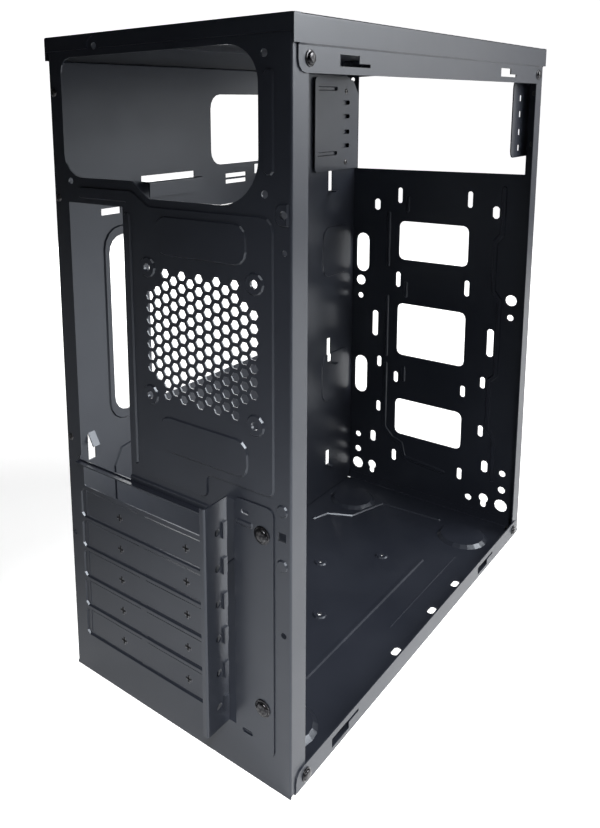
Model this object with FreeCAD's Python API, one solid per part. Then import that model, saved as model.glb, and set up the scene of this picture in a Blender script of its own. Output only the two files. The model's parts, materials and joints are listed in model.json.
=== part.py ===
import FreeCAD, Part
import math
import os

# Bare sheet-steel tower chassis of a desktop computer, without side panels and front bezel.
# Frame: Z up, rear wall at +Y, front wall at -Y, open access side at -X, mainboard side at +X.
# The origin is the middle of the footprint, on the surface that the chassis stands on.

V = FreeCAD.Vector

# Overall sizes
chassis_depth = 340.0  # front face to rear face
sheet = 0.8
bend = 1.2  # outside radius of a fold
relief = 3.0  # gap at the end of a folded flange
draft = 0.7  # slope width of an embossed edge

# Folded edges
post_width = 13.5  # folded posts of the rear and front walls
skirt_height = 13.0  # side skirts of the top cover
end_skirt_height = 8.0  # front and rear skirts of the top cover
rail_height = 13.0
rail_end = 4.0  # a rail stops this far short of the wall
rail_corner = 6.0
hidden_flange = 7.5

# Power supply opening and its screw pattern
psu_width = 150.0
psu_height = 86.0
psu_side_gap = 10.0  # beside a power supply or a wide drive
psu_screw_edge = 6.0
psu_screw_drop_far = 16.0
psu_screw_drop_near = 6.0
psu_screw_step = 24.0
step_u = -19.0  # end of the raised step of the opening
psu_hole_r = 1.9
psu_skin = 0.8  # the opening reaches this far below the power supply

# Connector opening
io_width = 44.45
io_height = 158.75
io_edge = 13.6  # from the mainboard side
io_top_gap = 6.3  # below the power supply's lower edge

# Card slots
slot_count = 6
slot_pitch = 20.32
slot_height = 16.9
slot_length = 95.0
slot_edge = 16.4  # from the mainboard side to the slots
slot_drop = 8.25  # from the connector opening to the middle of the open slot
slot_foot = 36.3  # height of the middle of the lowest slot
slit = 0.7
cover_bridge = 5.0
cover_dish = 3.0  # a cover's dish reaches this far past its ends
lip_reach = 4.5

# Card shelf, folded out of the rear wall
shelf_gap = 17.1  # from the slots to the shelf
shelf_reach = 18.0
shelf_lip = 3.3
shelf_width = 18.0
shelf_over = 10.0
shelf_hole_r = 2.1
shelf_hole_out = 8.0
shelf_lug = 9.0
plate_reach = 30.5  # from the shelf to the far edge of the slot cover plate
plate_margin = 11.0  # from there to the open side

# Fan field
fan_edge = 57.2  # from the open side to the fan's middle
fan_drop = 73.0  # below the power supply's lower edge
fan_pitch = 71.5
fan_hole_r = 2.2
hex_pitch = 6.73
hex_flats = 4.7
hex_half_width = 36.0
hex_half_height = 38.8
hex_clear = 10.5  # keeps the field clear of the screw bumps

# Embossing
raise_1 = 1.0
raise_2 = 0.9
bump_r = 5.8
least_arc = 16.0  # a smaller corner in a wall is cut in straight steps
least_fine = 9.0  # with fewer steps below this
least_steps = 3.0  # and a single step below this
round_sides = 12  # of a bump, a screw head or a hole that is no more than a polygon
foot_sides = 20
shank_sides = 8

# Fasteners
rivet_r = 1.6
rivet_head_r = 2.4
rivet_head = 0.9
screw_r = 1.7
screw_head_r = 3.8
plate_screw_head_r = 4.8
screw_head = 1.8
screw_length = 6.0
hole_gap = 0.1

# Mainboard tray
tray_inset = 7.4
tray_flange = 4.0
hook_rise = 11.0  # upper edge of the rear tab's hole over the connector opening's lower edge
hook_drop = 8.4
hook_lean = 4.9
cooler_end = 196.8  # far edge of the opening behind the processor, from the rear face

# Drive bay
bay_width = 150.0
bay_height = 86.0
bay_top_gap = 10.0

# The chassis is as wide as its widest row of contents, and as high as those at the rear stacked up
card_row = slot_edge + slot_length + shelf_gap + plate_reach + plate_margin
chassis_width = max(card_row, psu_width + 2 * psu_side_gap, bay_width + 2 * psu_side_gap)
card_top = slot_foot + (slot_count - 1) * slot_pitch  # middle of the open card slot
io_low = card_top + slot_drop
io_high = io_low + io_height
psu_low = io_high + io_top_gap
psu_top = psu_low + psu_height
chassis_height = psu_top + sheet

half = chassis_width / 2
post_out = half - sheet
fan_u = half - fan_edge
fan_v = psu_low - fan_drop
io_side = io_edge - half
io_right = io_side + io_width
slot_left = slot_edge - half
slot_right = slot_left + slot_length
shelf_u = slot_right + shelf_gap
rear_reach = shelf_reach - sheet
post_foot = bend + 0.4
head_gap = bend - sheet + 0.1  # a wall stops this far below the top cover's sheet
y_front = -(chassis_depth + rear_reach) / 2
y_rear = y_front + chassis_depth
tray_in = half - tray_inset
tray_out = tray_in + sheet
tray_high = chassis_height - skirt_height
bay_high = chassis_height - bay_top_gap
bay_low = bay_high - bay_height
tray_rivet_x = tray_out + tray_flange / 2
rivet_rows = (psu_top - 30.0, io_high + 2.0, io_low + 12.0)
rail_screw_in = 13.3  # from the wall's face to the rail screw
rail_screw_v = rail_height / 2
bay_rivet_u = bay_width / 2 + 4.2


def outline(corners, least=least_arc):
    """Closed wire through the corners. A third value in a corner is its radius.

    A radius under the least arc is cut in straight steps, which spares facets.
    """
    legs = []
    for i, corner in enumerate(corners):
        here = V(corner[0], corner[1], 0)
        radius = corner[2] if len(corner) > 2 else 0
        if radius <= 0:
            legs.append((False, [here]))
            continue
        last, following = corners[i - 1], corners[(i + 1) % len(corners)]
        back = (V(last[0], last[1], 0) - here).normalize()
        ahead = (V(following[0], following[1], 0) - here).normalize()
        half_angle = back.getAngle(ahead) / 2
        run = radius / math.tan(half_angle)
        if radius < min(least, least_steps):
            run *= 2 - math.sqrt(2)
            legs.append((False, [here + back * run, here + ahead * run]))
            continue
        inward = (back + ahead).normalize()
        centre = here + inward * (radius / math.sin(half_angle))
        if radius >= least:
            legs.append((True, [here + back * run, centre - inward * radius, here + ahead * run]))
            continue
        turn = math.pi - 2 * half_angle
        steps = max(2, round(turn / math.radians(30 if radius < least_fine else 22.5)))
        side = 1 if back.cross(ahead).z < 0 else -1
        spoke = here + back * run - centre
        points = []
        for k in range(steps + 1):
            c, s = math.cos(side * turn * k / steps), math.sin(side * turn * k / steps)
            points.append(centre + V(spoke.x * c - spoke.y * s, spoke.x * s + spoke.y * c, 0))
        legs.append((False, points))
    edges = []
    for i, (round_off, points) in enumerate(legs):
        if round_off:
            edges.append(Part.Arc(*points).toShape())
            points = points[-1:]
        for start, end in zip(points, points[1:] + legs[(i + 1) % len(legs)][1][:1]):
            if (end - start).Length > 1e-6:
                edges.append(Part.LineSegment(start, end).toShape())
    return Part.Wire(edges)


def rectangle(left, low, right, high, radius=0):
    corners = [(left, low), (right, low), (right, high), (left, high)]
    return outline([(*corner, radius) for corner in corners])


def obround(u, v, wide, tall):
    """Slot with round ends, centred on u, v."""
    radius = min(wide, tall) / 2 * 0.999
    return rectangle(u - wide / 2, v - tall / 2, u + wide / 2, v + tall / 2, radius)


def disc(u, v, radius):
    return Part.Wire([Part.Circle(V(u, v, 0), V(0, 0, 1), radius).toShape()])


def octagon(u, v, flat):
    """Regular octagon about a circle of radius flat, for the small holes."""
    return rectangle(u - flat, v - flat, u + flat, v + flat, flat)


def polygon(u, v, radius, sides):
    """Regular outline with its corners on a circle. It has a corner at its right."""
    turns = [2 * math.pi * k / sides for k in range(sides)]
    return outline([(u + radius * math.cos(a), v + radius * math.sin(a)) for a in turns])


def prism(wire, low, high):
    face = Part.Face(wire)
    face.translate(V(0, 0, low))
    return face.extrude(V(0, 0, high - low))


def along_second(wire, low, high):
    """Solid of a section drawn on the first and third axes."""
    solid = prism(wire, -high, -low)
    solid.rotate(V(0, 0, 0), V(1, 0, 0), 90)
    return solid


def along_first(wire, low, high):
    """Solid of a section drawn on the second and third axes."""
    solid = prism(wire, low, high)
    solid.rotate(V(0, 0, 0), V(1, 1, 1), 120)
    return solid


def box(x0, x1, y0, y1, z0, z1):
    return Part.makeBox(x1 - x0, y1 - y0, z1 - z0, V(x0, y0, z0))


def mitre(points, gap):
    """The points of an open path, moved to its left by gap, with mitred corners."""
    moved = []
    last = len(points) - 1
    for i, (u, v) in enumerate(points):
        sides = []
        if i > 0:
            sides.append(V(u - points[i - 1][0], v - points[i - 1][1], 0).normalize())
        if i < last:
            sides.append(V(points[i + 1][0] - u, points[i + 1][1] - v, 0).normalize())
        normals = [V(-s.y, s.x, 0) for s in sides]
        total = normals[0] + normals[-1]
        shift = total * (2 * gap / total.dot(total))
        moved.append((u + shift.x, v + shift.y))
    return moved


def bent_section(points, radius):
    """Outline of a bent sheet. The points are its outer skin, with the metal to their left."""
    inner = mitre(points, sheet)
    skin, core = [points[0]], [inner[0]]
    for i in range(1, len(points) - 1):
        a, b, c = points[i - 1 : i + 2]
        turn = (b[0] - a[0]) * (c[1] - b[1]) - (b[1] - a[1]) * (c[0] - b[0])
        tight = radius - sheet
        skin.append((*points[i], radius if turn > 0 else tight))
        core.append((*inner[i], tight if turn > 0 else radius))
    skin.append(points[-1])
    core.append(inner[-1])
    return outline(skin + core[::-1], 0)


def ribbon(points, wide):
    """Outline of a bead that follows a path."""
    around = mitre(points, wide / 2) + mitre(points, -wide / 2)[::-1]
    last = len(points) - 1
    for i in (0, last, last + 1, -1):
        around[i] = (*around[i], wide * 0.48)
    return outline(around)


class Stamping:
    """Flat sheet in local axes: u to the right, v up, w out of the embossed face, from 0 to the sheet."""

    def __init__(self, blank):
        self.blank = blank
        self.pads = []
        self.pockets = []
        self.cuts = []
        self.top = sheet

    def emboss(self, wire, rise, level=0.0, slope=draft, hollow=True, dishes=()):
        """Raises the metal inside the wire, but for the dishes, and hollows its other face to match."""
        self.top = max(self.top, sheet + level + rise)
        pad = tapered(wire, 0, sheet + level, rise, slope)
        pocket = tapered(wire, slope, level, rise, slope)
        if dishes:
            sunk = [tapered(dish, 0, sheet + level, rise, -slope) for dish in dishes]
            pad = pad.cut(Part.makeCompound(sunk))
            sunk = [tapered(dish, -slope, level, rise, -slope) for dish in dishes]
            pocket = pocket.cut(Part.makeCompound(sunk))
        self.pads.append(pad)
        if hollow:
            self.pockets.append(pocket)

    def cut(self, *wires):
        self.cuts += wires

    def build(self):
        body = self.blank
        if self.pads:
            body = body.multiFuse(self.pads).removeSplitter()
        if self.pockets:
            body = body.cut(Part.makeCompound(self.pockets))
        if self.cuts:
            tools = [prism(wire, -2 * sheet, self.top + sheet) for wire in self.cuts]
            body = body.cut(Part.makeCompound(tools))
        return body


def moved_in(wire, gap):
    """The outline moved in by gap. One with straight sides keeps its corners."""
    if any(edge.Curve.TypeId != "Part::GeomLine" for edge in wire.Edges):
        return wire.makeOffset2D(-gap, 2) if gap else wire.copy()
    points = [vertex.Point for vertex in wire.OrderedVertexes]
    ahead = [(b - a).normalize() for a, b in zip(points, points[1:] + points[:1])]
    area = sum(a.cross(b).z for a, b in zip(points, points[1:] + points[:1]))
    side = gap if area > 0 else -gap
    corners = []
    for i, point in enumerate(points):
        total = V(-ahead[i - 1].y - ahead[i].y, ahead[i - 1].x + ahead[i].x, 0)
        corners.append(point + total * (2 * side / total.dot(total)))
    return outline([(corner.x, corner.y) for corner in corners])


def frustum(base, crown):
    """Solid between two level outlines whose sides run parallel. Straight sides give flat faces."""
    if any(edge.Curve.TypeId != "Part::GeomLine" for edge in base.Edges):
        return Part.makeLoft([base, crown], True, True)
    low = [vertex.Point for vertex in base.OrderedVertexes]
    high = [vertex.Point for vertex in crown.OrderedVertexes]
    faces = [Part.Face(base), Part.Face(crown)]
    for i in range(len(low)):
        faces.append(Part.Face(Part.makePolygon([low[i - 1], low[i], high[i], high[i - 1], low[i - 1]])))
    shell = Part.makeShell(faces)
    shell.sewShape()
    solid = Part.Solid(shell)
    if solid.Volume < 0:
        solid.reverse()
    return solid


def tapered(wire, inset, low, rise, slope):
    """Solid from the wire, moved in by inset, to the same wire moved in by one slope more."""
    base = moved_in(wire, inset)
    crown = moved_in(wire, inset + slope)
    base.translate(V(0, 0, low))
    crown.translate(V(0, 0, low + rise))
    return frustum(base, crown)


def stand(shape, origin, right, up):
    """Moves a shape from its local axes to its place on the chassis."""
    out = right.cross(up)
    rows = []
    for axis in "xyz":
        rows += [getattr(right, axis), getattr(up, axis), getattr(out, axis), getattr(origin, axis)]
    placed = shape.copy()
    placed.transformShape(FreeCAD.Matrix(*rows, 0, 0, 0, 1))
    return placed


def on_wall(shape, y):
    """Rear and front walls: u is -X, to the right as seen from behind, v is Z and w is +Y."""
    return stand(shape, V(0, y, 0), V(-1, 0, 0), V(0, 0, 1))


def on_tray(shape):
    """Tray: u is the distance from the rear face, v is Z and w points into the chassis."""
    return stand(shape, V(tray_out, y_rear, 0), V(0, -1, 0), V(0, 0, 1))


def wall_blank(points, foot):
    """Wall with a folded post down each side. The posts start at the foot, clear of the base's rails."""
    web = along_second(bent_section(points, bend), 0, psu_top - head_gap)
    reach = post_width + bend
    below = [box(side - bend, side + bend, -1, foot, -reach, reach) for side in (-post_out, post_out)]
    core = box(-post_out, post_out, 0, foot, 0, sheet)
    return web.cut(Part.makeCompound(below)).fuse(core).removeSplitter()


def rear_opening():
    """Opening for the power supply, with its step over the connector opening."""
    left = -psu_width / 2 + 1.5
    right = psu_width / 2 - 9.6
    low = psu_low - psu_skin
    high = psu_top - 11.0
    step = low + 9.0
    return outline(
        [
            (left, step, 13.0),
            (step_u, step, 4.0),
            (step_u + 11.5, low, 5.0),
            (right, low, 24.0),
            (right, high, 18.0),
            (left, high, 8.0),
        ]
    )


def psu_screws():
    """Places of the four screws of the power supply, on the rear wall."""
    right = psu_width / 2 - psu_screw_edge
    low = psu_low + psu_screw_edge
    return [
        (-right, low),
        (right, low),
        (right, psu_top - psu_screw_drop_far),
        (-right + psu_screw_step, psu_top - psu_screw_drop_near),
    ]


def fan_screws():
    reach = fan_pitch / 2
    return [(fan_u + a * reach, fan_v + b * reach) for a in (-1, 1) for b in (-1, 1)]


def fan_field():
    """Hexagonal holes in columns, inside a field with its corners left free for the screws."""
    holes = []
    column = hex_pitch * math.sqrt(3) / 2
    columns = int(hex_half_width / column)
    rows = int(hex_half_height / hex_pitch) + 1
    for i in range(-columns, columns + 1):
        for j in range(-rows, rows + 1):
            u = fan_u + i * column
            v = fan_v + (j + (i % 2) / 2) * hex_pitch
            if abs(v - fan_v) > hex_half_height - hex_flats / 2:
                continue
            if min(math.hypot(u - a, v - b) for a, b in fan_screws()) < hex_clear:
                continue
            holes.append(polygon(u, v, hex_flats / math.sqrt(3), 6))
    return holes


def slot_middle(k):
    return card_top - k * slot_pitch


def cover_slits(v):
    """Two slits round a break-away slot cover. Bridges in the middle of its long edges hold it."""
    wires = []
    middle = slot_left + slot_length / 2
    for side, end in ((-1, slot_left), (1, slot_right)):
        near = middle + side * cover_bridge / 2
        low, high = v - slot_height / 2, v + slot_height / 2
        inner = end - side * slit
        points = [(near, low), (end, low), (end, high), (near, high)]
        points += [(near, high - slit), (inner, high - slit), (inner, low + slit), (near, low + slit)]
        wires.append(outline(points))
    return wires


def shelf_span():
    low = slot_middle(slot_count - 1) - shelf_over
    high = slot_middle(0) + 2 * shelf_over
    return low, high


def card_shelf():
    """Flange folded out of the rear wall, with a screw hole and a lanced lug for each card."""
    low, high = shelf_span()
    tip = sheet + shelf_reach
    path = [(shelf_u - 5.5, 0), (shelf_u, 0), (shelf_u, tip), (shelf_u - shelf_lip, tip)]
    shelf = along_second(bent_section(path, bend), low, high)
    holes, lugs = [], []
    for k in range(slot_count):
        v = slot_middle(k) + 3.0
        holes.append(along_first(disc(v, sheet + shelf_hole_out, shelf_hole_r), shelf_u - 2, shelf_u + 2))
        low_v, high_v = v - shelf_lug / 2, v + shelf_lug / 2
        lugs.append(box(shelf_u, shelf_u + 1.2, low_v, high_v, sheet + 1.2, sheet + 4.4))
    return shelf.multiFuse(lugs).cut(Part.makeCompound(holes))


def rear_panel():
    tip = sheet - post_width
    points = [(post_out, tip), (post_out, sheet), (-post_out, sheet), (-post_out, tip)]
    blank = wall_blank(points, post_foot)
    wall = Stamping(blank)
    field_left, field_right = io_right + 8.4, half - 10.7
    field_top, field_low = psu_low - 4.4, slot_middle(0) + 15.1
    notch_u, notch_v = slot_right + 5.1, field_low + 13.5
    arm = 11.8 - psu_width / 2
    strip_low, strip_top = io_high + 2.8, psu_low + 3.3
    # Raised field that holds the fan, with an arm between the two openings.
    wall.emboss(
        outline(
            [
                (arm, strip_top, 3),
                (arm, strip_low, 3),
                (field_left - 5.5, strip_low, 2),
                (field_left, strip_low - 4.6, 3),
                (field_left, field_low, 6),
                (notch_u, field_low, 4),
                (notch_u, notch_v, 3),
                (field_right, notch_v, 4),
                (field_right, field_top, 7),
                (step_u + 12.3, field_top, 6),
                (step_u, strip_top, 6),
            ]
        ),
        raise_1,
    )
    # Frame of the card slots, with each cover in a dish.
    reach = slot_height / 2
    left, right = slot_left - cover_dish, slot_right + cover_dish
    dishes = []
    for k in range(1, slot_count):
        v = slot_middle(k)
        dishes.append(rectangle(left, v - reach, right, v + reach, 2.9))
        wall.cut(*cover_slits(v))
    frame_low = slot_middle(slot_count - 1) - 18.3
    frame = rectangle(slot_left - 6.6, frame_low, slot_right + 9.6, field_low - 3.5, 6)
    wall.emboss(frame, raise_1, dishes=dishes)
    open_top = slot_middle(0) + reach - 1.8
    wall.cut(rectangle(slot_left, slot_middle(0) - reach, slot_right, open_top, 1.5))
    # Two panels, the fan's screw bumps and the beads.
    left, right = fan_u - 29.2, fan_u + 31.1
    wall.emboss(rectangle(left, fan_v + 43.5, right, fan_v + 64.3, 7), raise_2, raise_1)
    wall.emboss(rectangle(left, field_low + 19.2, right, field_low + 39.7, 7), raise_2, raise_1)
    for u, v in fan_screws():
        wall.emboss(polygon(u, v, bump_r, round_sides), raise_2, raise_1, hollow=False)
    beside = psu_width / 2 - 6.4
    wall.emboss(rectangle(beside, psu_low + 14.8, beside + 6.0, psu_top - 23.0, 2.9), raise_1)
    wall.emboss(rectangle(io_right + 1.1, io_low + 11.0, io_right + 6.1, io_high - 2.5, 2.4), raise_1)
    ear = psu_low - 3.0
    left, right = half - 9.8, half - 2.4
    tab = outline([(left, ear - 5.5, 4), (right, ear - 5.5), (right, ear + 5.5), (left, ear + 5.5, 4)])
    wall.emboss(tab, raise_2, hollow=False)
    card_side = slot_middle(0)
    for v in (card_side + 23.6, card_side - 5.8):
        wall.emboss(octagon(half - 6.0, v, 3.4), raise_2, hollow=False)
    # Openings and holes.
    wall.cut(rear_opening(), rectangle(io_side, io_low, io_right, io_high))
    wall.cut(*[disc(u, v, psu_hole_r) for u, v in psu_screws()])
    wall.cut(*[disc(u, v, fan_hole_r) for u, v in fan_screws()])
    wall.cut(*fan_field())
    wall.cut(octagon(half - 4.9, ear, 2.0), octagon(half - 4.8, ear - 17.8, 1.4))
    wall.cut(octagon(half - 5.2, card_side - 44.3, 1.6))
    wall.cut(rectangle(half - 8.6, card_side + 7.0, half - 3.8, card_side + 11.8))
    wall.cut(octagon(-tray_rivet_x, rivet_rows[-1] - 64.0, 1.6))
    wall.cut(*[octagon(-tray_rivet_x, v, rivet_r + hole_gap) for v in rivet_rows])
    wall.cut(*[octagon(u, v, screw_r + hole_gap) for u, v in plate_screws()])
    body = wall.build()
    # Lip over the open slot.
    lip = box(slot_left - 4.0, slot_right + 2.5, open_top, open_top + sheet, sheet, sheet + lip_reach)
    low, high = shelf_span()
    gap = box(shelf_u - 5.5, shelf_u + shelf_width, low, high, -sheet, 3 * sheet)
    body = body.cut(gap).multiFuse([lip, card_shelf()])
    # Holes for the rail screws in both posts.
    return on_wall(body, y_rear - sheet).cut(Part.makeCompound(rail_screw_holes()))


def plate_screws():
    """Screws of the slot cover plate."""
    u = shelf_u + 23.5
    return [(u, slot_middle(0) + 7.0), (u, slot_middle(slot_count - 1) + 9.8)]


def slot_cover_plate():
    """Plate that covers the gap behind the card shelf, but for the way of the card tabs."""
    low, high = shelf_span()
    blank = prism(rectangle(shelf_u + 5.5, low - 8.0, shelf_u + plate_reach, high + 2.5, 4), 0, sheet)
    plate = Stamping(blank)
    plate.cut(*[octagon(u, v, screw_r + hole_gap) for u, v in plate_screws()])
    plate.cut(obround(shelf_u + 12.8, high - 4.0, 5.0, 2.4), obround(shelf_u + 13.3, low, 7.0, 2.6))
    plate.emboss(rectangle(shelf_u + 7.0, high - 12.0, shelf_u + 18.0, high - 8.6, 1.6), 0.6)
    return on_wall(plate.build(), y_rear)


def rail_screw_places():
    """Distance from the chassis' front face and height of the four screws of one side."""
    top = chassis_height - skirt_height - rail_screw_v
    return [(a, b) for a in (rail_screw_in, chassis_depth - rail_screw_in) for b in (rail_screw_v, top)]


def rail_screw_holes():
    drills = []
    for along, z in rail_screw_places():
        drills.append(along_first(octagon(y_front + along, z, screw_r + hole_gap), -half - 2, half + 2))
    return drills


def rail_outline(low, high, top_corner, low_corner):
    front, rear = y_front + rail_end, y_rear - rail_end
    lower = [(front, low, low_corner), (rear, low, low_corner)]
    upper = [(rear, high, top_corner), (front, high, top_corner)]
    return along_first(outline(lower + upper), -half - 2, half + 2)


def hook_slots(strip_v, step):
    """L-shaped slots of a side panel's hooks. The wide part lies on the step side of the narrow strip."""
    tools = []
    for start in (39.5, chassis_depth - 89.5):
        y = y_rear - start
        narrow, wide = strip_v + 1.8 * step, strip_v + 5.6 * step
        points = [(y, strip_v), (y - 29.5, strip_v), (y - 29.5, narrow)]
        points += [(y - 18.5, narrow), (y - 18.5, wide), (y, wide)]
        tools.append(along_first(outline(points), -half - 1.5, half + 1.5))
    return tools


def clear_core(shape):
    """Only the metal of the two sides, so that a side's tool spares the middle."""
    return shape.cut(box(-post_out + 2, post_out - 2, y_front, y_rear, -1, chassis_height + 1))


def top_cover():
    top = chassis_height
    out = half + sheet
    shoulder = top - skirt_height
    low = shoulder - rail_height
    section = bent_section([(out, shoulder), (out, top), (-out, top), (-out, shoulder)], bend)
    hood = along_second(section, y_front - sheet, y_rear + sheet)
    path = [(half, low), (half, shoulder - sheet), (out, shoulder), (out, top)]
    path += [(-out, top), (-out, shoulder), (-half, shoulder - sheet), (-half, low)]
    rails = along_second(bent_section(path, bend), y_front + rail_end, y_rear - rail_end)
    rails = rails.common(rail_outline(low, top, 0, rail_corner))
    ends = []
    lower = top - end_skirt_height
    rear, front = y_rear + sheet, y_front - sheet
    rear_skirt = [(rear, lower), (rear, top), (rear - 6, top)]
    front_skirt = [(front + 6, top), (front, top), (front, lower)]
    for path in (rear_skirt, front_skirt):
        ends.append(along_first(bent_section(path, bend), -out, out))
    body = hood.multiFuse([rails, *ends])
    tools = [clear_core(t) for t in hook_slots(low + 3.7, 1)] + rail_screw_holes()
    # Room for the upper power supply screw at the rear skirt.
    u, v = psu_screws()[3]
    room = along_second(polygon(-u, v, 5.3, round_sides), y_rear - sheet / 4, y_rear + 2)
    tools.append(room.cut(box(-half, half, y_rear - 1, y_rear + 3, top - bend, top)))
    return body.cut(Part.makeCompound(tools))


def base_pan():
    """Folded base: a rail up each side, a low flange inside each wall, foot dimples, beads and slots."""
    path = [(-half, rail_height), (-half, 0), (half, 0), (half, rail_height)]
    pan = along_second(bent_section(path, bend), y_front + rail_end, y_rear - rail_end)
    pan = pan.common(rail_outline(0, rail_height, rail_corner, 0))
    inner_front, inner_rear = y_front + sheet, y_rear - sheet
    floor = box(-post_out + bend, post_out - bend, inner_front + 4, inner_rear - 4, 0, sheet)
    parts = [floor]
    left, right = -half + hidden_flange, tray_in - 1.5
    for path in (
        [(inner_front, hidden_flange), (inner_front, 0), (inner_front + 8, 0)],
        [(inner_rear - 8, 0), (inner_rear, 0), (inner_rear, hidden_flange)],
    ):
        parts.append(along_first(bent_section(path, bend), left, right))
    base = Stamping(pan.multiFuse(parts))
    foot_x, foot_in = half - 33.0, 40.0
    for x in (-foot_x, foot_x):
        for y in (y_front + foot_in, y_rear - foot_in):
            base.emboss(polygon(x, y, 20.0, foot_sides), 2.4, slope=3.0)
    left = 42.2 - half
    base.emboss(rectangle(left, y_front + 92.0, left + 3.0, y_rear - 78.0, 1.45), 1.2)
    wave = [(62.0, 92.0), (57.0, 76.0), (38.0, 66.0), (27.0, 30.0), (-27.0, 26.0)]
    base.emboss(ribbon([(x, y_front + y) for x, y in wave], 3.6), raise_1)
    left -= 17.4
    base.emboss(rectangle(left, y_front + 73.0, left + 1.4, y_front + 183.0, 0.6), 0.3, slope=0.2)
    for x, y in ((20.3, 145.5), (-13.1, 107.1), (-14.3, 201.7)):
        base.emboss(polygon(x, y_front + y, 5.0, round_sides), raise_1, hollow=False)
        base.cut(octagon(x, y_front + y, 1.7))
    base.cut(*[obround(10.7 - half, y_front + y, 4.6, 9.0) for y in (106.5, 147.2, 202.4)])
    body = base.build()
    tools = [clear_core(t) for t in hook_slots(9.3, -1)] + rail_screw_holes()
    return body.cut(Part.makeCompound(tools))


def front_panel():
    points = [(-post_out, post_width), (-post_out, 0), (post_out, 0), (post_out, post_width)]
    wall = Stamping(wall_blank(points, post_foot))
    side = bay_width / 2
    # Large drive opening with its low upper corner on the mainboard side.
    upper = [(side, bay_high), (-32.0, bay_high), (-44.0, bay_high - 4.5), (-side, bay_high - 5)]
    wall.cut(outline([(-side, bay_low), (side, bay_low), *upper]))
    wall.cut(polygon(4.3 - side, bay_high + 1.2, 3.8, round_sides))
    wall.cut(octagon(side - 4.3, bay_high + 4.0, 2.5))
    wall.cut(rectangle(-51.0, bay_high - 1.5, -47.0, bay_high + 2.5))
    wall.cut(octagon(3.9 - half, bay_high - 7.0, 1.9), octagon(3.9 - half, bay_high - 16.0, 1.9))
    for low, high in ((bay_low - 79.7, bay_low - 45.1), (134.2, 182.2), (58.2, 92.4)):
        wall.cut(rectangle(-31.6, low, 31.6, high, 5))
    for side in (-1, 1):
        wall.cut(obround(31.7 * side, bay_low - 22.5, 4.2, 13.6), obround(31.7 * side, 203.8, 4.2, 13.6))
        wall.cut(obround(31.7 * side, 112.3, 4.2, 10.0), obround(31.7 * side, 36.0, 4.2, 10.6))
        wall.cut(obround(53.7 * side, bay_low - 31.8, 5.6, 10.0), obround(53.7 * side, 159.8, 5.6, 24.0))
        wall.cut(obround(48.8 * side, 123.9, 4.2, 10.0), obround(48.8 * side, 80.3, 4.2, 10.0))
        wall.cut(obround(53.7 * side, 49.1, 5.4, 10.4))
        wall.cut(polygon(69.3 * side, 198.7, 4.6, round_sides), octagon(69.3 * side, 184.1, 2.5))
        wall.cut(octagon(69.3 * side, 47.0, 2.6), octagon(69.3 * side, 32.0, 2.9))
        wall.cut(polygon(69.3 * side, 17.7, 5.4, round_sides))
        # Keyhole: a round hole that runs down into a narrower slot.
        wall.cut(polygon(54.1 * side, 20.0, 4.0, round_sides), obround(54.1 * side, 16.0, 4.6, 8.6))
    wall.cut(obround(-67.6, bay_low - 77.0, 12.6, 36.0), obround(-67.6, 108.0, 12.6, 36.0))
    wall.cut(octagon(40.6, 16.8, 2.7))
    # Beads.
    right = [(60.0, bay_low - 10.0), (60.0, bay_low - 49.5), (54.5, bay_low - 56.0), (54.5, 204.5)]
    right += [(60.0, 198.0), (60.0, 133.0), (54.5, 127.0), (54.5, 84.0), (60.5, 77.0), (60.5, 37.0)]
    wall.emboss(ribbon(right, 4.2), raise_1)
    left = [(-41.9, 125.0), (-41.9, 62.0), (-34.0, 53.0), (-24.5, 50.0), (-21.0, 37.0), (18.5, 33.0)]
    wall.emboss(ribbon(left, 3.6), raise_1)
    for low, high in ((bay_low - 88.0, bay_low - 37.5), (130.0, 188.5)):
        wall.emboss(rectangle(-43.7, low, -40.1, high, 1.7), raise_1)
    for middle in (bay_low - 29.6, 195.5, 116.5):
        wall.emboss(rectangle(-25.8, middle - 7.5, -22.2, middle + 7.5, 1.7), raise_1)
    wall.cut(*[octagon(-tray_rivet_x, v, rivet_r + hole_gap) for v in front_rivet_rows()])
    wall.cut(*[octagon(bay_rivet_u, v, rivet_r + hole_gap) for v in bay_rivet_rows()])
    return on_wall(wall.build(), y_front).cut(Part.makeCompound(rail_screw_holes()))


def front_rivet_rows():
    return (60.0, 165.0, bay_low - 12.0)


def bay_bracket_span():
    """Lowest and highest point of the bracket on the open side."""
    return bay_low + 15.0, bay_low + 72.0


def bay_rivet_rows():
    low, high = bay_bracket_span()
    return (low + 9.0, high - 9.0)


def bay_bracket_access():
    """Bracket with four screw holes. Its foot lies on the inside of the front wall."""
    low, high = bay_bracket_span()
    face = -bay_width / 2 + 0.4
    reach = 35.0
    front = y_front + sheet
    # The section lies in X and Y, and the metal is to the left of its path.
    path = [(-half + 3.0, front), (face, front), (face, front + reach)]
    section = bent_section(path, bend)
    bracket = prism(section, low, high)
    end = front + reach
    edge = outline([(front - 1, low), (end, low, 5), (end, high, 5), (front - 1, high)])
    bracket = bracket.common(along_first(edge, -half, 0))
    tools = []
    for v in bay_hole_rows():
        hole = rectangle(front + 17.0, v - 2.2, front + 21.4, v + 2.2)
        tools.append(along_first(hole, face - 2, face + 2))
    for v in bay_rivet_rows():
        tools.append(along_second(octagon(-bay_rivet_u, v, rivet_r + hole_gap), front - 1, front + 2))
    return bracket.cut(Part.makeCompound(tools))


def bay_hole_rows():
    first = bay_low + 59.4
    return (first, first - 11.9, first - 25.4, first - 37.3)


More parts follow.
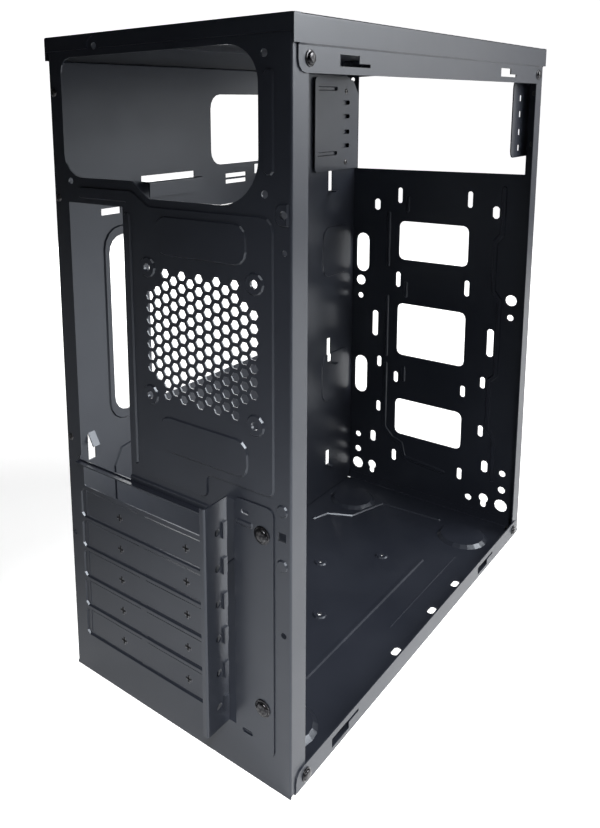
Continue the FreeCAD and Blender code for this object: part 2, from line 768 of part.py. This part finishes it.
def bay_bracket_board():
    """Drive bracket on the mainboard side. Two beads seat it on the tray."""
    face = bay_width / 2
    gap = tray_in - face - sheet
    near, far = chassis_depth - 72.0, chassis_depth - sheet - 0.4
    low, high = bay_low + 0.5, bay_high - 6.0
    # Drawn in the tray's axes, then turned over so that the beads rise towards the tray.
    corners = [(near, low, 4), (far, low), (far, high - 14), (far - 9, high - 2), (near, high, 4)]
    plate = Stamping(prism(outline(corners), 0, sheet))
    for v in (low + 15.0, high - 9.5):
        plate.emboss(rectangle(near + 4, v - 2.5, near + 36, v + 2.5, 2.4), gap)
    for v in bay_hole_rows():
        plate.cut(obround(chassis_depth - 22.4, v - 0.7, 12.6, 3.8))
    for u, v in board_rivets():
        plate.emboss(octagon(u, v, 5.0), gap, hollow=False)
        plate.cut(octagon(u, v, rivet_r + hole_gap))
    body = plate.build()
    body = body.mirror(V(0, 0, 0), V(0, 0, 1))
    return stand(body, V(face, y_rear, 0), V(0, -1, 0), V(0, 0, 1))


def board_rivets():
    """Rivets of the drive bracket in the tray: distance from the rear face, and height."""
    return [(chassis_depth - 22.4, bay_low + 6.8), (chassis_depth - 22.4, bay_low + 68.2)]


def board_tray():
    """Mainboard wall, set in from the side, with a flange along each edge."""
    left, right = sheet, chassis_depth - sheet
    low, high = sheet, tray_high
    out = -tray_flange
    upright = bent_section([(right, out), (right, sheet), (left, sheet), (left, out)], bend)
    level = bent_section([(high, out), (high, sheet), (low, sheet), (low, out)], bend)
    blank = along_second(upright, low + 2 * relief, high - 2 * relief)
    web = prism(rectangle(left + bend, low + bend, right - bend, high - bend), 0, sheet)
    blank = blank.multiFuse([along_first(level, left + 2 * relief, right - 2 * relief), web])
    tray = Stamping(blank.removeSplitter())
    # Slot for cables with its raised frame, and the opening behind the processor.
    slot_low, slot_high = io_low + 17.2, io_high - 25.3
    tray.emboss(rectangle(30.4, slot_low - 6.2, 62.0, slot_high + 5.8, 14), raise_1)
    tray.cut(rectangle(34.6, slot_low, 57.8, slot_high, 11))
    tray.cut(rectangle(70.0, io_low + 16.0, cooler_end, io_high - 17.0, 7))
    # Window and slits beside the power supply.
    tray.cut(rectangle(136.0, psu_low + 6.1, cooler_end + 7.0, psu_top - 30.4, 10))
    for drop in (3.9, 8.3):
        tray.cut(rectangle(152.0, psu_low - drop, 176.3, psu_low - drop + 2.8))
    tray.cut(rectangle(187.0, psu_low - 3.2, 200.0, psu_low + 3.8))
    tray.cut(rectangle(30.0, psu_low - 18.2, 46.0, psu_low - 14.2))
    for low_v in (208.0, 91.5):
        tray.emboss(rectangle(right - 54.0, low_v, right - 7.2, low_v + 45.0, 10), raise_1)
    bead = [(54.0, io_low - 7.2), (40.0, io_low - 9.2), (34.0, io_low - 19.2), (34.0, io_low - 46.2)]
    tray.emboss(ribbon(bead, 3.4), raise_1)
    front_u = chassis_depth - 43.0
    lugs = [(front_u, bay_low - 8.0, 6.0, 18.0), (front_u, 140.0, 6.0, 22.0), (front_u, 36.0, 6.0, 14.0)]
    tray.cut(rectangle(11.0, io_low - 7.0, 17.1, io_low + hook_rise))
    tabs = [hanging_tab(14.05, io_low + hook_rise, 5.3)]
    for u, v, wide, tall in lugs:
        tray.cut(rectangle(u - wide / 2, v - tall / 2, u + wide / 2, v + tall / 2))
        tabs.append(lanced_tab(u, v - tall / 2, wide - 1.5, tall * 0.45))
    tray.cut(*[octagon(u, v, rivet_r + hole_gap) for u, v in board_rivets()])
    shelf_start, shelf_end = 65.4, 117.2
    tray.cut(rectangle(shelf_start, psu_low - 4.0, shelf_end, psu_low + 3.5))
    body = tray.build()
    path = [(psu_low - 4.0, 0), (psu_low, 0), (psu_low, 8.5), (psu_low - 10.0, 8.5)]
    shelf = along_first(bent_section(path, bend), shelf_start, shelf_end)
    lower = [(right - 15.0, high - 2), (right - 5, high - 16), (right + 1, high - 16)]
    corner = outline([(right - 15.0, high + 1), *lower, (right + 1, high + 1)])
    body = body.multiFuse([shelf, *tabs]).cut(prism(corner, -tray_flange - 1, 3 * sheet))
    drills = []
    for rows, y in ((rivet_rows, y_rear - 3), (front_rivet_rows(), y_front)):
        for v in rows:
            drills.append(along_second(octagon(tray_rivet_x, v, rivet_r + hole_gap), y, y + 3))
    return on_tray(body).cut(Part.makeCompound(drills))


def hanging_tab(u, high, wide):
    """Tab that hangs from the upper edge of its hole and leans into the chassis."""
    path = [(high - hook_drop, hook_lean), (high, 0), (high + 3.0, 0)]
    return along_first(bent_section(path, bend), u - wide / 2, u + wide / 2)


def lanced_tab(u, low, wide, reach):
    """Tab bent into the chassis at the lower edge of its hole."""
    path = [(low - 3.0, 0), (low, 0), (low, reach)]
    return along_first(bent_section(path, bend), u - wide / 2, u + wide / 2)


def headed(head_r, top_r, rise, shank_r, length):
    """Fastener with its seat at height 0: a shank below, and a head that narrows to its top."""
    shank = prism(polygon(0, 0, shank_r, shank_sides), -length, 0)
    seat = polygon(0, 0, head_r, round_sides)
    crown = polygon(0, 0, top_r, round_sides)
    crown.translate(V(0, 0, rise))
    return shank.fuse(frustum(seat, crown))


def screw(head_r):
    return headed(head_r, head_r * 0.7, screw_head, screw_r, screw_length)


def rivet(grip):
    return headed(rivet_head_r, rivet_head_r * 0.6, rivet_head, rivet_r, grip)


def place_fasteners(fastener, places, right, up):
    """Group of separate copies, each with its head towards right x up."""
    return Part.makeCompound([stand(fastener, V(*place), right, up) for place in places])


def rail_screws(side):
    places = [(side * half, y_front + along, z) for along, z in rail_screw_places()]
    return place_fasteners(screw(screw_head_r), places, V(0, side, 0), V(0, 0, 1))


def wall_rivets(x, rows, y, facing):
    """Rivets through a wall and the flange on its inside, one above the other."""
    return place_fasteners(rivet(2 * sheet), [(x, y, z) for z in rows], V(-facing, 0, 0), V(0, 0, 1))


def plate_screw_group():
    spots = [(-u, y_rear + sheet, v) for u, v in plate_screws()]
    return place_fasteners(screw(plate_screw_head_r), spots, V(-1, 0, 0), V(0, 0, 1))


def board_rivet_group():
    face = bay_width / 2
    spots = [(face, y_rear - u, v) for u, v in board_rivets()]
    return place_fasteners(rivet(tray_out - face), spots, V(0, -1, 0), V(0, 0, 1))


nodes = {
    "rear_panel": rear_panel,
    "top_cover": top_cover,
    "base_pan": base_pan,
    "front_panel": front_panel,
    "board_tray": board_tray,
    "bay_bracket_access": bay_bracket_access,
    "bay_bracket_board": bay_bracket_board,
    "slot_cover_plate": slot_cover_plate,
    "slot_plate_screws": plate_screw_group,
    "rail_screws_access": lambda: rail_screws(-1),
    "rail_screws_board": lambda: rail_screws(1),
    "tray_rear_rivets": lambda: wall_rivets(tray_rivet_x, rivet_rows, y_rear, 1),
    "tray_front_rivets": lambda: wall_rivets(tray_rivet_x, front_rivet_rows(), y_front, -1),
    "bay_access_rivets": lambda: wall_rivets(-bay_rivet_u, bay_rivet_rows(), y_front, -1),
    "bay_board_rivets": board_rivet_group,
}

os.makedirs("parts", exist_ok=True)
for name, make in nodes.items():
    make().exportStep("parts/" + name + ".step")
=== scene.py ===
import json
import math

import bmesh
import bpy
from mathutils import Matrix, Quaternion, Vector

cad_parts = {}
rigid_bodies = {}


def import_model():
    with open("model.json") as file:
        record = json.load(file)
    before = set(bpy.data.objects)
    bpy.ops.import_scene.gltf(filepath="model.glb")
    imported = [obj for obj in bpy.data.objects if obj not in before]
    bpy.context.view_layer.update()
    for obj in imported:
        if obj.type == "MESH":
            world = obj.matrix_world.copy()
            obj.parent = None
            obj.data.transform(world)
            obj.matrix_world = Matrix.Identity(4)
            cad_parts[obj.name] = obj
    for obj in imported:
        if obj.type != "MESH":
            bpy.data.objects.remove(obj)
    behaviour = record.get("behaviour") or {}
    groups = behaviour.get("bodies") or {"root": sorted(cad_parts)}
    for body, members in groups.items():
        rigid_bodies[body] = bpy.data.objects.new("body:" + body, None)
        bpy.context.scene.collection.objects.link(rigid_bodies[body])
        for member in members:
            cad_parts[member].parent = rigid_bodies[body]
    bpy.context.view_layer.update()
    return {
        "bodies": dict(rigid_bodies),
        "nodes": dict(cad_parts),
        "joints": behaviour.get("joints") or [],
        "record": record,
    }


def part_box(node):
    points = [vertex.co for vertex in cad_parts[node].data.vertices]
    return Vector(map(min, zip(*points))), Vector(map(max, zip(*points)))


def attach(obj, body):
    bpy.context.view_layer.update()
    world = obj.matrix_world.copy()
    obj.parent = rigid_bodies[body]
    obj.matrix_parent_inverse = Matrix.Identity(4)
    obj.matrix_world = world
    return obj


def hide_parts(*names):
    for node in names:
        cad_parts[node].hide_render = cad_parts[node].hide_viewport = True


MM = 0.001

# Camera: measured on the edges of the chassis in the photograph
CAMERA_AT = Vector((-283.8, 454.2, 356.3)) * MM
CAMERA_AHEAD = Vector((0.6303, -0.7565, -0.1745))
CAMERA_ROLL = math.radians(-0.87)
CAMERA_FOCUS = 783.1  # focal length in pixels of the frame
FRAME_TALL = 828
SENSOR = 36.0
CAMERA_SHIFT = (0.10, -0.20)

# Coat of the sheets. A roughness that crosses 0.27 comes out blotched in dark places, so it stays above.
COAT_SHEEN = (0.86, 0.92, 1.0, 1.0)
COAT_DEEP = (0.010, 0.0115, 0.0165)
COAT_PALE = (0.014, 0.016, 0.022)
COAT_DUST = (0.035, 0.036, 0.04, 1.0)
COAT_GLOSS = (0.29, 0.36)

# Studio
ROOM_LIGHT = 0.02
FLOOR_NEAR = 0.35  # distance from the origin up to which the floor keeps its shadow
FLOOR_FAR = 1.1  # from here on the camera sees it as pure white
FLOOR_GLOW = 0.5  # how white the camera sees the floor in the shadow
SPOT_BLEND = 0.8
SPOT_RADIUS = 0.08

# Floor and backdrop, along the camera's view
FLOOR_START = -3.0
FLOOR_END = 2.5
FLOOR_HALF_WIDTH = 6.0
BACKDROP_CURVE = 1.0
BACKDROP_TOP = 3.0
CURVE_STEPS = 12

# Cross marks on the slot covers: painted shade for the pits, with a painted highlight on one edge
SLOT_PITCH = 20.32 * MM
SLOT_DROP = 260.1 * MM  # from the top to the middle of the open slot
COVER_COUNT = 5
MARK_X = (39.0 * MM, -13.9 * MM)
MARK_ARM = 2.3 * MM
MARK_WIDE = 0.65 * MM
PIT_OUT = 0.06 * MM  # how far the dark cross of painted shade stands out of the cover
EDGE_OUT = 0.04 * MM
EDGE_SHIFT = 0.22 * MM  # sideways and down, so that only an edge of the light cross shows, as a painted highlight

# Fasteners
SCREW_RISE = 1.8 * MM
SCREW_SHANK = 1.7 * MM
SCREW_SIDES = 40
RIVET_RISE = 0.9 * MM
RIVET_SHANK = 1.6 * MM
RIVET_SIDES = 32
FIRST_TURN = 0.3  # each fastener of a group is turned a little further than the last
TURN_STEP = 1.1

# Largest angle between faces that are shaded as one
SHEET_ANGLE = 32
SCREW_ANGLE = 35
GROUP_ANGLE = 38
RIVET_ANGLE = 40


def new_material(name):
    """Empty principled material: its shader, its node tree and the object coordinates."""
    material = bpy.data.materials.new(name)
    material.use_nodes = True
    tree = material.node_tree
    shader = tree.nodes["Principled BSDF"]
    coordinates = tree.nodes.new("ShaderNodeTexCoord")
    return material, tree, shader, coordinates.outputs["Object"]


def noise(tree, source, scale, detail=4.0, rough=0.55):
    node = tree.nodes.new("ShaderNodeTexNoise")
    node.inputs["Scale"].default_value = scale
    node.inputs["Detail"].default_value = detail
    node.inputs["Roughness"].default_value = rough
    tree.links.new(source, node.inputs["Vector"])
    return node.outputs["Fac"]


def ramp(tree, source, low, high):
    """Turns a factor into a colour or grey between two ends. Each end is a position and a value."""
    node = tree.nodes.new("ShaderNodeValToRGB")
    for element, (place, value) in zip(node.color_ramp.elements, (low, high)):
        colour = value if isinstance(value, tuple) else (value, value, value)
        element.position = place
        element.color = (*colour, 1.0)
    tree.links.new(source, node.inputs["Fac"])
    return node.outputs["Color"]


def mottle(tree, place, low, high, scale, detail, rough=0.55):
    """Colour or grey that drifts between two ends."""
    return ramp(tree, noise(tree, place, scale, detail, rough), low, high)


def mix(tree, factor, one, two):
    node = tree.nodes.new("ShaderNodeMix")
    node.data_type = "RGBA"
    for name, value in (("Factor", factor), ("A", one), ("B", two)):
        socket = node.inputs[name]
        if isinstance(value, bpy.types.NodeSocket):
            tree.links.new(value, socket)
        else:
            socket.default_value = value
    return node.outputs["Result"]


def bump(tree, shader, height, strength, distance):
    node = tree.nodes.new("ShaderNodeBump")
    node.inputs["Strength"].default_value = strength
    node.inputs["Distance"].default_value = distance
    tree.links.new(height, node.inputs["Height"])
    tree.links.new(node.outputs["Normal"], shader.inputs["Normal"])


def black_coat():
    """Thin satin black coat on sheet steel, with a fine grain, and dull where hands and dust have been."""
    material, tree, shader, place = new_material("black_coat")
    tone = mottle(tree, place, (0.35, COAT_DEEP), (0.7, COAT_PALE), 14.0, 5.0)
    speck = mottle(tree, place, (0.70, 0.0), (0.80, 0.3), 900.0, 3.0, 0.7)
    colour = mix(tree, speck, tone, COAT_DUST)
    tree.links.new(colour, shader.inputs["Base Color"])
    shader.inputs["Specular Tint"].default_value = COAT_SHEEN
    smoothest, dullest = COAT_GLOSS
    gloss = mottle(tree, place, (0.3, smoothest), (0.75, dullest), 26.0, 6.0, 0.6)
    tree.links.new(gloss, shader.inputs["Roughness"])
    bump(tree, shader, noise(tree, place, 2600.0, 2.0), 0.15, 0.00012)
    return material


def dark_zinc():
    """Blackened screw steel, lighter where it is worn."""
    material, tree, shader, place = new_material("dark_zinc")
    shader.inputs["Metallic"].default_value = 0.85
    wear = mottle(tree, place, (0.42, (0.01, 0.01, 0.012)), (0.72, (0.09, 0.09, 0.094)), 700.0, 4.0)
    tree.links.new(wear, shader.inputs["Base Color"])
    gloss = mottle(tree, place, (0.3, 0.17), (0.8, 0.24), 320.0, 3.0)
    tree.links.new(gloss, shader.inputs["Roughness"])
    bump(tree, shader, noise(tree, place, 1500.0, 3.0), 0.15, 0.0001)
    return material


def rivet_metal():
    """Dull grey rivet."""
    material, tree, shader, place = new_material("rivet_metal")
    shader.inputs["Metallic"].default_value = 0.8
    tone = mottle(tree, place, (0.35, (0.03, 0.03, 0.032)), (0.75, (0.11, 0.11, 0.113)), 500.0, 4.0)
    tree.links.new(tone, shader.inputs["Base Color"])
    gloss = mottle(tree, place, (0.3, 0.32), (0.8, 0.5), 260.0, 3.0)
    tree.links.new(gloss, shader.inputs["Roughness"])
    bump(tree, shader, noise(tree, place, 1200.0, 3.0), 0.2, 0.0001)
    return material


def pit_shadow():
    """Painted shade: near black on the small cross marks, standing in for the shade inside the punched
    pits.
    """
    material, tree, shader, place = new_material("pit_shadow")
    tone = mottle(tree, place, (0.3, (0.002, 0.002, 0.003)), (0.8, (0.006, 0.006, 0.007)), 900.0, 3.0)
    tree.links.new(tone, shader.inputs["Base Color"])
    shader.inputs["Roughness"].default_value = 0.6
    shader.inputs["Specular IOR Level"].default_value = 0.25
    return material


def painted_edge_glint():
    """Painted highlight: a light glint painted on the far edge of a punched mark."""
    material, tree, shader, place = new_material("painted_edge_glint")
    shader.inputs["Metallic"].default_value = 0.5
    tone = mottle(tree, place, (0.3, (0.12, 0.12, 0.13)), (0.8, (0.26, 0.27, 0.28)), 900.0, 3.0)
    tree.links.new(tone, shader.inputs["Base Color"])
    shader.inputs["Roughness"].default_value = 0.4
    return material


def into_scene(name, data):
    item = bpy.data.objects.new(name, data)
    bpy.context.scene.collection.objects.link(item)
    return item


def new_piece(name, mesh, material):
    piece = into_scene(name, mesh)
    mesh.materials.append(material)
    return piece


def lathe(bm, profile, sides):
    """Closed skin turned about Z from a profile of radius and height."""
    rings = []
    for radius, height in profile:
        if radius < 1e-7:
            rings.append([bm.verts.new((0, 0, height))])
            continue
        turn = [2 * math.pi * k / sides for k in range(sides)]
        rings.append([bm.verts.new((radius * math.cos(a), radius * math.sin(a), height)) for a in turn])
    for low, high in zip(rings, rings[1:]):
        for k in range(sides):
            corners = [low[k % len(low)], low[(k + 1) % len(low)]]
            corners += [high[(k + 1) % len(high)], high[k % len(high)]]
            bm.faces.new(list(dict.fromkeys(corners)))


def box_into(bm, low, high):
    made = bmesh.ops.create_cube(bm, size=1.0)["verts"]
    size = Vector(high) - Vector(low)
    middle = (Vector(high) + Vector(low)) / 2
    for vert in made:
        vert.co = Vector((vert.co.x * size.x, vert.co.y * size.y, vert.co.z * size.z)) + middle


def mesh_of(bm, name):
    bmesh.ops.recalc_face_normals(bm, faces=bm.faces)
    mesh = bpy.data.meshes.new(name)
    bm.to_mesh(mesh)
    bm.free()
    return mesh


def smooth(mesh, angle):
    mesh.shade_smooth()
    mesh.set_sharp_from_angle(angle=math.radians(angle))


def subtract(mesh, cutter):
    """Mesh less the cutter, as a new mesh."""
    body = into_scene("body", mesh)
    tool = into_scene("tool", cutter)
    modifier = body.modifiers.new("cut", "BOOLEAN")
    modifier.operation = "DIFFERENCE"
    modifier.solver = "EXACT"
    modifier.object = tool
    graph = bpy.context.evaluated_depsgraph_get()
    result = bpy.data.meshes.new_from_object(body.evaluated_get(graph))
    for item in (body, tool):
        bpy.data.objects.remove(item)
    return result


def cross_cutter(arm, wide, low, high):
    """Cross of two bars. One is a little taller, so that their tops don't share a plane."""
    bm = bmesh.new()
    box_into(bm, (-arm, -wide, low), (arm, wide, high))
    box_into(bm, (-wide, -arm, low), (wide, arm, high * 1.01))
    return mesh_of(bm, "cross")


def turned(name, head, rise, shank, length, crown, sides):
    """Fastener with its seat at height 0. The crown's points are shares of the head's radius and rise."""
    bm = bmesh.new()
    profile = [(0, -length), (shank, -length), (shank, 0)]
    profile += [(head * out, rise * up) for out, up in crown]
    lathe(bm, profile, sides)
    return mesh_of(bm, name)


def screw_mesh(head, rise, shank, length):
    """Pan head with a flange and a cross recess, on a shank."""
    crown = [(0.97, 0), (1, 0.08), (1, 0.22), (0.95, 0.3), (0.8, 0.34), (0.78, 0.62)]
    crown += [(0.7, 0.86), (0.55, 0.97), (0.3, 1), (0, 1)]
    body = turned("screw_body", head, rise, shank, length, crown, SCREW_SIDES)
    cutter = cross_cutter(head * 0.56, head * 0.14, rise * 0.1, rise * 1.4)
    result = subtract(body, cutter)
    smooth(result, SCREW_ANGLE)
    return result


def rivet_mesh(head, rise, shank, length):
    """Domed head with the pit that the drawn mandrel leaves."""
    crown = [(0.98, 0), (1, 0.12), (0.93, 0.4), (0.72, 0.8), (0.45, 1), (0.36, 1), (0.3, 0.35), (0, 0.3)]
    result = turned("rivet_body", head, rise, shank, length, crown, RIVET_SIDES)
    smooth(result, RIVET_ANGLE)
    return result


def islands(node):
    """Lowest and highest corner of each separate solid of a node."""
    bm = bmesh.new()
    bm.from_mesh(node.data)
    bmesh.ops.remove_doubles(bm, verts=bm.verts, dist=1e-7)
    left = set(bm.verts)
    found = []
    while left:
        stack = [left.pop()]
        island = list(stack)
        while stack:
            for edge in stack.pop().link_edges:
                for vert in edge.verts:
                    if vert in left:
                        left.remove(vert)
                        stack.append(vert)
                        island.append(vert)
        low = Vector(min(v.co[i] for v in island) for i in range(3))
        high = Vector(max(v.co[i] for v in island) for i in range(3))
        found.append((low, high))
    bm.free()
    return sorted(found, key=lambda pair: (round(pair[0].z, 4), round(pair[0].y, 4)))


def dress_fasteners(frame, node, out, maker, rise, shank, material):
    """Replaces the plain heads of a group by detailed ones at the same places."""
    axis = max(range(3), key=lambda i: abs(out[i]))
    across = [i for i in range(3) if i != axis]
    sign = 1 if out[axis] > 0 else -1
    upright = out.to_track_quat("Z", "Y").to_matrix().to_4x4()
    meshes = []
    for k, (low, high) in enumerate(islands(frame["nodes"][node])):
        radius = max(high[i] - low[i] for i in across) / 2
        mesh = maker(radius, rise, shank, high[axis] - low[axis] - rise)
        seat = (low + high) / 2
        seat[axis] = (high[axis] if sign > 0 else low[axis]) - sign * rise
        turn = Matrix.Rotation(TURN_STEP * k + FIRST_TURN, 4, "Z")
        mesh.transform(Matrix.Translation(seat) @ (upright @ turn))
        meshes.append(mesh)
    bm = bmesh.new()
    for mesh in meshes:
        bm.from_mesh(mesh)
    joined = bpy.data.meshes.new(node + "_detail")
    bm.to_mesh(joined)
    bm.free()
    smooth(joined, GROUP_ANGLE)
    piece = new_piece(node + "_detail", joined, material)
    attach(piece, "root")
    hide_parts(node)


def cover_marks(dark, light):
    """Small cross marks on the slot covers, two on each: a dark cross of painted shade, with one edge
    given a painted highlight.
    """
    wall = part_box("slot_cover_plate")[0].y
    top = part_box("top_cover")[1].z
    arms = ((MARK_ARM, MARK_WIDE), (MARK_WIDE, MARK_ARM))
    # The dark crosses are painted pit shade; the light ones, shifted, are painted highlights on one edge.
    kinds = (("mark_pit_shade", dark, PIT_OUT, 0.0), ("mark_painted_glints", light, EDGE_OUT, EDGE_SHIFT))
    for name, material, out, shift in kinds:
        bm = bmesh.new()
        for k in range(1, COVER_COUNT + 1):
            height = top - SLOT_DROP - k * SLOT_PITCH - shift
            for x in MARK_X:
                middle = Vector((x - shift, wall, height))
                for arm, wide in arms:
                    reach = Vector((arm, out, wide))
                    box_into(bm, middle - reach, middle + reach)
        piece = new_piece(name, mesh_of(bm, name), material)
        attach(piece, "root")


def floor_white():
    """Matt white floor. Far from the chassis, the camera sees it as pure white, like the background."""
    material, tree, shader, place = new_material("floor_white")
    tone = mottle(tree, place, (0.3, (0.88, 0.88, 0.88)), (0.8, (0.91, 0.91, 0.91)), 3.0, 3.0)
    tree.links.new(tone, shader.inputs["Base Color"])
    shader.inputs["Roughness"].default_value = 0.8
    path = tree.nodes.new("ShaderNodeLightPath")
    length = tree.nodes.new("ShaderNodeVectorMath")
    length.operation = "LENGTH"
    tree.links.new(place, length.inputs[0])
    far = tree.nodes.new("ShaderNodeMapRange")
    far.inputs["From Min"].default_value = FLOOR_NEAR
    far.inputs["From Max"].default_value = FLOOR_FAR
    far.inputs["To Min"].default_value = FLOOR_GLOW
    far.inputs["To Max"].default_value = 1.0
    tree.links.new(length.outputs["Value"], far.inputs["Value"])
    glow = tree.nodes.new("ShaderNodeMath")
    glow.operation = "MULTIPLY"
    tree.links.new(far.outputs["Result"], glow.inputs[0])
    tree.links.new(path.outputs["Is Camera Ray"], glow.inputs[1])
    shader.inputs["Emission Color"].default_value = (1, 1, 1, 1)
    tree.links.new(glow.outputs["Value"], shader.inputs["Emission Strength"])
    return material


def stage():
    """Pale floor that runs up into a backdrop, far behind the chassis."""
    bm = bmesh.new()
    away = Vector((CAMERA_AHEAD.x, CAMERA_AHEAD.y, 0)).normalized()
    side = Vector((away.y, -away.x, 0))
    section = [(FLOOR_START, 0.0), (FLOOR_END, 0.0)]
    for k in range(1, CURVE_STEPS + 1):
        a = math.pi / 2 * k / CURVE_STEPS
        section.append((FLOOR_END + BACKDROP_CURVE * math.sin(a), BACKDROP_CURVE * (1 - math.cos(a))))
    section.append((FLOOR_END + BACKDROP_CURVE, BACKDROP_TOP))
    rows = []
    for run, up in section:
        middle = away * run + Vector((0, 0, up))
        rows.append([bm.verts.new(middle + side * s) for s in (-FLOOR_HALF_WIDTH, FLOOR_HALF_WIDTH)])
    for a, b in zip(rows, rows[1:]):
        bm.faces.new((a[0], a[1], b[1], b[0]))
    mesh = mesh_of(bm, "floor")
    mesh.shade_smooth()
    new_piece("floor", mesh, floor_white())


def aim(item, at, direction):
    item.location = at
    item.rotation_mode = "QUATERNION"
    item.rotation_quaternion = direction.to_track_quat("-Z", "Y")


def area_light(name, at, target, size, power):
    data = bpy.data.lights.new(name, "AREA")
    data.shape = "SQUARE"
    data.size = size
    data.energy = power
    aim(into_scene(name, data), at, Vector(target) - Vector(at))


def spot_light(name, at, target, spread, power):
    data = bpy.data.lights.new(name, "SPOT")
    data.spot_size = math.radians(spread)
    data.spot_blend = SPOT_BLEND
    data.shadow_soft_size = SPOT_RADIUS
    data.energy = power
    aim(into_scene(name, data), at, Vector(target) - Vector(at))


def light_up():
    """Dim room whose walls the camera sees as white.

    Two soft lamps stand at the open side, a third fills the mainboard side, and a spot lights the floor
    that the rear wall mirrors.
    """
    world = bpy.data.worlds.new("studio")
    bpy.context.scene.world = world
    world.use_nodes = True
    tree = world.node_tree
    background = tree.nodes["Background"]
    path = tree.nodes.new("ShaderNodeLightPath")
    level = tree.nodes.new("ShaderNodeMix")
    level.data_type = "FLOAT"
    level.inputs["A"].default_value = ROOM_LIGHT
    level.inputs["B"].default_value = 1.0
    tree.links.new(path.outputs["Is Camera Ray"], level.inputs["Factor"])
    background.inputs["Color"].default_value = (1, 1, 1, 1)
    tree.links.new(level.outputs["Result"], background.inputs["Strength"])
    area_light("side", (-0.9, -0.5, 0.8), (-0.4, -0.2, 0.1), 0.8, 26)
    area_light("window", (-0.95, -1.15, 0.6), (0, 0, 0.3), 0.9, 6)
    area_light("board_side", (1.3, -0.9, 0.6), (0, -0.05, 0.2), 1.0, 18)
    spot_light("table", (-0.7, 1.0, 1.2), (-0.23, 0.24, 0), 32, 160)


def place_camera():
    data = bpy.data.cameras.new("camera")
    data.sensor_width = SENSOR
    data.lens = CAMERA_FOCUS / FRAME_TALL * SENSOR
    data.shift_x, data.shift_y = CAMERA_SHIFT
    camera = into_scene("camera", data)
    aim(camera, CAMERA_AT, CAMERA_AHEAD)
    camera.rotation_quaternion = camera.rotation_quaternion @ Quaternion((0, 0, 1), CAMERA_ROLL)
    bpy.context.scene.camera = camera


def main():
    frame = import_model()
    bpy.context.scene.view_settings.view_transform = "Standard"
    coat = black_coat()
    zinc = dark_zinc()
    grey = rivet_metal()
    for name, node in frame["nodes"].items():
        finish = coat
        if "screws" in name:
            finish = zinc
        if "rivets" in name:
            finish = grey
        node.data.materials.clear()
        node.data.materials.append(finish)
        smooth(node.data, SHEET_ANGLE)
    screw = (screw_mesh, SCREW_RISE, SCREW_SHANK, zinc)
    rivet = (rivet_mesh, RIVET_RISE, RIVET_SHANK, grey)
    groups = {
        "slot_plate_screws": ((0, 1, 0), screw),
        "rail_screws_access": ((-1, 0, 0), screw),
        "rail_screws_board": ((1, 0, 0), screw),
        "tray_rear_rivets": ((0, 1, 0), rivet),
        "tray_front_rivets": ((0, -1, 0), rivet),
        "bay_access_rivets": ((0, -1, 0), rivet),
        "bay_board_rivets": ((-1, 0, 0), rivet),
    }
    for node, (out, kind) in groups.items():
        dress_fasteners(frame, node, Vector(out), *kind)
    # Cross marks: painted shade for the pits and painted highlights on their edges.
    cover_marks(pit_shadow(), painted_edge_glint())
    stage()
    light_up()
    place_camera()


main()
